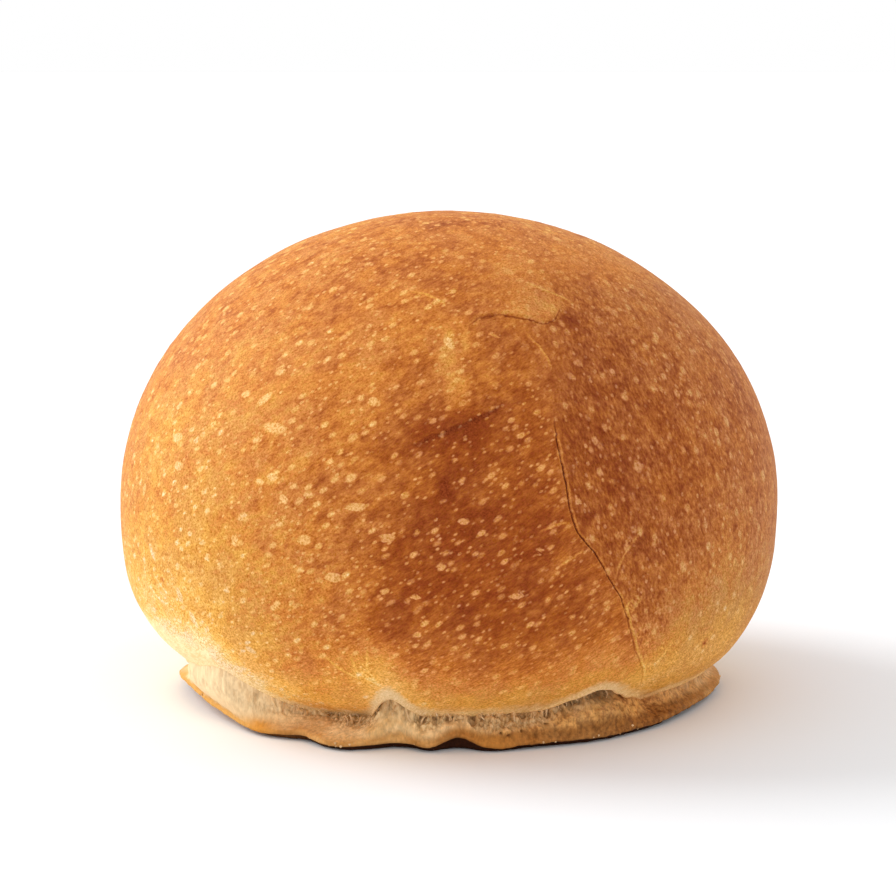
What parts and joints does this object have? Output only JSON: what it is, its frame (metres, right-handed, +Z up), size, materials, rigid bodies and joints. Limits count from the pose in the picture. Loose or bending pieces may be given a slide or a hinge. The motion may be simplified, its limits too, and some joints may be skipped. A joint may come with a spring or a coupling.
{
  "type": "bread roll",
  "caption": "Round crusty bread roll, whole, with a high browned dome, a torn crumb band low down and a flat base to stand on.",
  "frame": {"origin": "centre of the flat base on which the roll stands", "axes": "+Z up out of the crown, -Y towards the side with the long crack, +X to that side's right"},
  "size_m": [0.0999, 0.0999, 0.072],
  "materials": {
    "bread_roll": null
  },
  "bodies": {
    "root": {"bread_roll": "bread_roll"}
  },
  "joints": []
}
